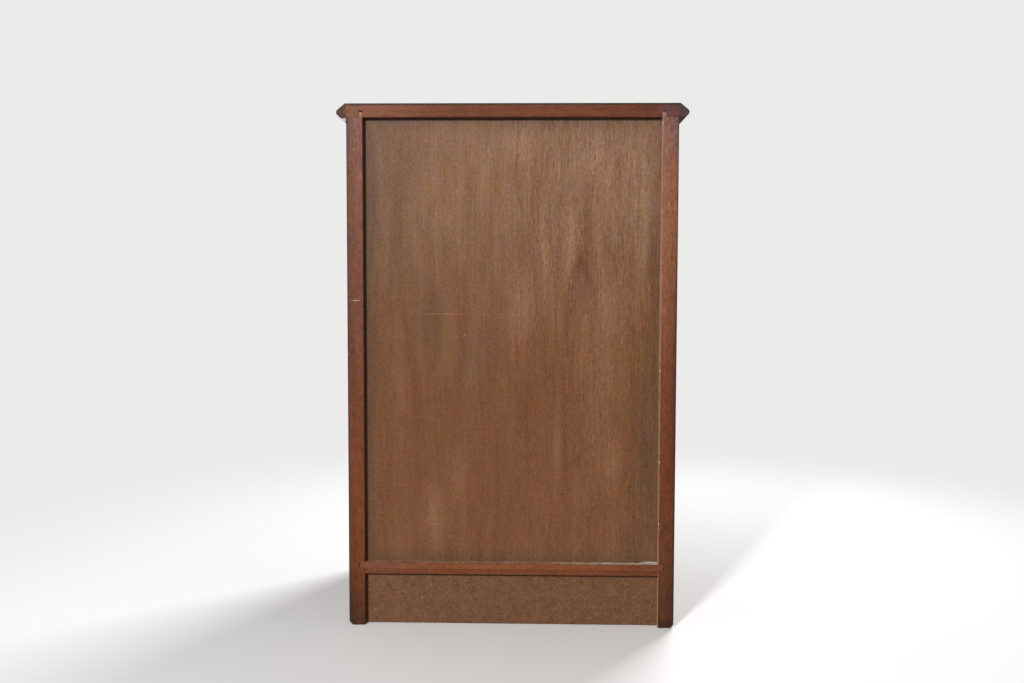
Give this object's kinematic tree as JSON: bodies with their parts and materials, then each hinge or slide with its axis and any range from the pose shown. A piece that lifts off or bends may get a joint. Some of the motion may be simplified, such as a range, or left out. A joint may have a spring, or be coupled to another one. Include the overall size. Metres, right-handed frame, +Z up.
{
  "type": "chest of drawers",
  "caption": "Free-standing stained wooden chest with graduated inset drawers on bail pulls, a moulded overhanging top and a framed plywood back.",
  "frame": {"origin": "on the floor under the middle of the chest's bounding box, pulls included", "axes": "+X to the right of someone who faces the drawers, +Y from the drawer fronts to the framed back, +Z up from the floor to the top"},
  "size_m": [0.604, 0.4356, 0.91],
  "materials": {
    "stained_hardwood": "red-brown stain, satin",
    "stained_plywood": "thin brown stain, matt",
    "stained_fibreboard": "brown stain, matt",
    "drawer_wood": "planed and unfinished",
    "drawer_plywood": "sanded and unfinished",
    "antique_brass": "darkened, worn bright on the high spots"
  },
  "bodies": {
    "case": {"left_side": "stained_hardwood", "right_side": "stained_hardwood", "top_panel": "stained_hardwood", "top_back_lipping": "stained_hardwood", "top_left_lipping": "stained_hardwood", "top_right_lipping": "stained_hardwood", "top_front_lipping": "stained_hardwood", "left_bed_moulding": "stained_hardwood", "right_bed_moulding": "stained_hardwood", "front_bed_moulding": "stained_hardwood", "back_panel": "stained_plywood", "lower_back_panel": "stained_fibreboard", "bottom_board": "stained_hardwood", "plinth_board": "stained_hardwood", "plinth_blocks": "drawer_wood", "top_rail": "stained_hardwood", "drawer_rail_1": "stained_hardwood", "drawer_rail_2": "stained_hardwood", "drawer_rail_3": "stained_hardwood", "drawer_rail_4": "stained_hardwood", "top_kickers": "drawer_wood", "drawer_runners": "drawer_wood", "drawer_stops": "drawer_wood"},
    "drawer_1": {"drawer_1_front": "stained_hardwood", "drawer_1_sides": "drawer_wood", "drawer_1_back": "drawer_wood", "drawer_1_bottom": "drawer_plywood", "drawer_1_pull_posts": "antique_brass"},
    "drawer_1_left_bail": {"drawer_1_left_bail": "antique_brass"},
    "drawer_1_right_bail": {"drawer_1_right_bail": "antique_brass"},
    "drawer_2": {"drawer_2_front": "stained_hardwood", "drawer_2_sides": "drawer_wood", "drawer_2_back": "drawer_wood", "drawer_2_bottom": "drawer_plywood", "drawer_2_pull_posts": "antique_brass"},
    "drawer_2_left_bail": {"drawer_2_left_bail": "antique_brass"},
    "drawer_2_right_bail": {"drawer_2_right_bail": "antique_brass"},
    "drawer_3": {"drawer_3_front": "stained_hardwood", "drawer_3_sides": "drawer_wood", "drawer_3_back": "drawer_wood", "drawer_3_bottom": "drawer_plywood", "drawer_3_pull_posts": "antique_brass"},
    "drawer_3_left_bail": {"drawer_3_left_bail": "antique_brass"},
    "drawer_3_right_bail": {"drawer_3_right_bail": "antique_brass"},
    "drawer_4": {"drawer_4_front": "stained_hardwood", "drawer_4_sides": "drawer_wood", "drawer_4_back": "drawer_wood", "drawer_4_bottom": "drawer_plywood", "drawer_4_pull_posts": "antique_brass"},
    "drawer_4_left_bail": {"drawer_4_left_bail": "antique_brass"},
    "drawer_4_right_bail": {"drawer_4_right_bail": "antique_brass"},
    "drawer_5": {"drawer_5_front": "stained_hardwood", "drawer_5_sides": "drawer_wood", "drawer_5_back": "drawer_wood", "drawer_5_bottom": "drawer_plywood", "drawer_5_pull_posts": "antique_brass"},
    "drawer_5_left_bail": {"drawer_5_left_bail": "antique_brass"},
    "drawer_5_right_bail": {"drawer_5_right_bail": "antique_brass"}
  },
  "joints": [
    {"name": "drawer_1_slide", "type": "slide", "parent": "case", "child": "drawer_1", "axis": [0, -1, 0], "range_m": [0, 0.28]},
    {"name": "drawer_1_left_bail_pivot", "type": "hinge", "parent": "drawer_1", "child": "drawer_1_left_bail", "pos_m": [-0.14, -0.2132, 0.8221], "axis": [-1, 0, 0], "range_deg": [-22, 202]},
    {"name": "drawer_1_right_bail_pivot", "type": "hinge", "parent": "drawer_1", "child": "drawer_1_right_bail", "pos_m": [0.14, -0.2132, 0.8221], "axis": [-1, 0, 0], "range_deg": [-22, 202]},
    {"name": "drawer_2_slide", "type": "slide", "parent": "case", "child": "drawer_2", "axis": [0, -1, 0], "range_m": [0, 0.28]},
    {"name": "drawer_2_left_bail_pivot", "type": "hinge", "parent": "drawer_2", "child": "drawer_2_left_bail", "pos_m": [-0.14, -0.2132, 0.69055], "axis": [-1, 0, 0], "range_deg": [-22, 202]},
    {"name": "drawer_2_right_bail_pivot", "type": "hinge", "parent": "drawer_2", "child": "drawer_2_right_bail", "pos_m": [0.14, -0.2132, 0.69055], "axis": [-1, 0, 0], "range_deg": [-22, 202]},
    {"name": "drawer_3_slide", "type": "slide", "parent": "case", "child": "drawer_3", "axis": [0, -1, 0], "range_m": [0, 0.28]},
    {"name": "drawer_3_left_bail_pivot", "type": "hinge", "parent": "drawer_3", "child": "drawer_3_left_bail", "pos_m": [-0.14, -0.2132, 0.5435], "axis": [-1, 0, 0], "range_deg": [-22, 202]},
    {"name": "drawer_3_right_bail_pivot", "type": "hinge", "parent": "drawer_3", "child": "drawer_3_right_bail", "pos_m": [0.14, -0.2132, 0.5435], "axis": [-1, 0, 0], "range_deg": [-22, 202]},
    {"name": "drawer_4_slide", "type": "slide", "parent": "case", "child": "drawer_4", "axis": [0, -1, 0], "range_m": [0, 0.28]},
    {"name": "drawer_4_left_bail_pivot", "type": "hinge", "parent": "drawer_4", "child": "drawer_4_left_bail", "pos_m": [-0.14, -0.2132, 0.38095], "axis": [-1, 0, 0], "range_deg": [-22, 202]},
    {"name": "drawer_4_right_bail_pivot", "type": "hinge", "parent": "drawer_4", "child": "drawer_4_right_bail", "pos_m": [0.14, -0.2132, 0.38095], "axis": [-1, 0, 0], "range_deg": [-22, 202]},
    {"name": "drawer_5_slide", "type": "slide", "parent": "case", "child": "drawer_5", "axis": [0, -1, 0], "range_m": [0, 0.28]},
    {"name": "drawer_5_left_bail_pivot", "type": "hinge", "parent": "drawer_5", "child": "drawer_5_left_bail", "pos_m": [-0.14, -0.2132, 0.2029], "axis": [-1, 0, 0], "range_deg": [-22, 202]},
    {"name": "drawer_5_right_bail_pivot", "type": "hinge", "parent": "drawer_5", "child": "drawer_5_right_bail", "pos_m": [0.14, -0.2132, 0.2029], "axis": [-1, 0, 0], "range_deg": [-22, 202]}
  ]
}
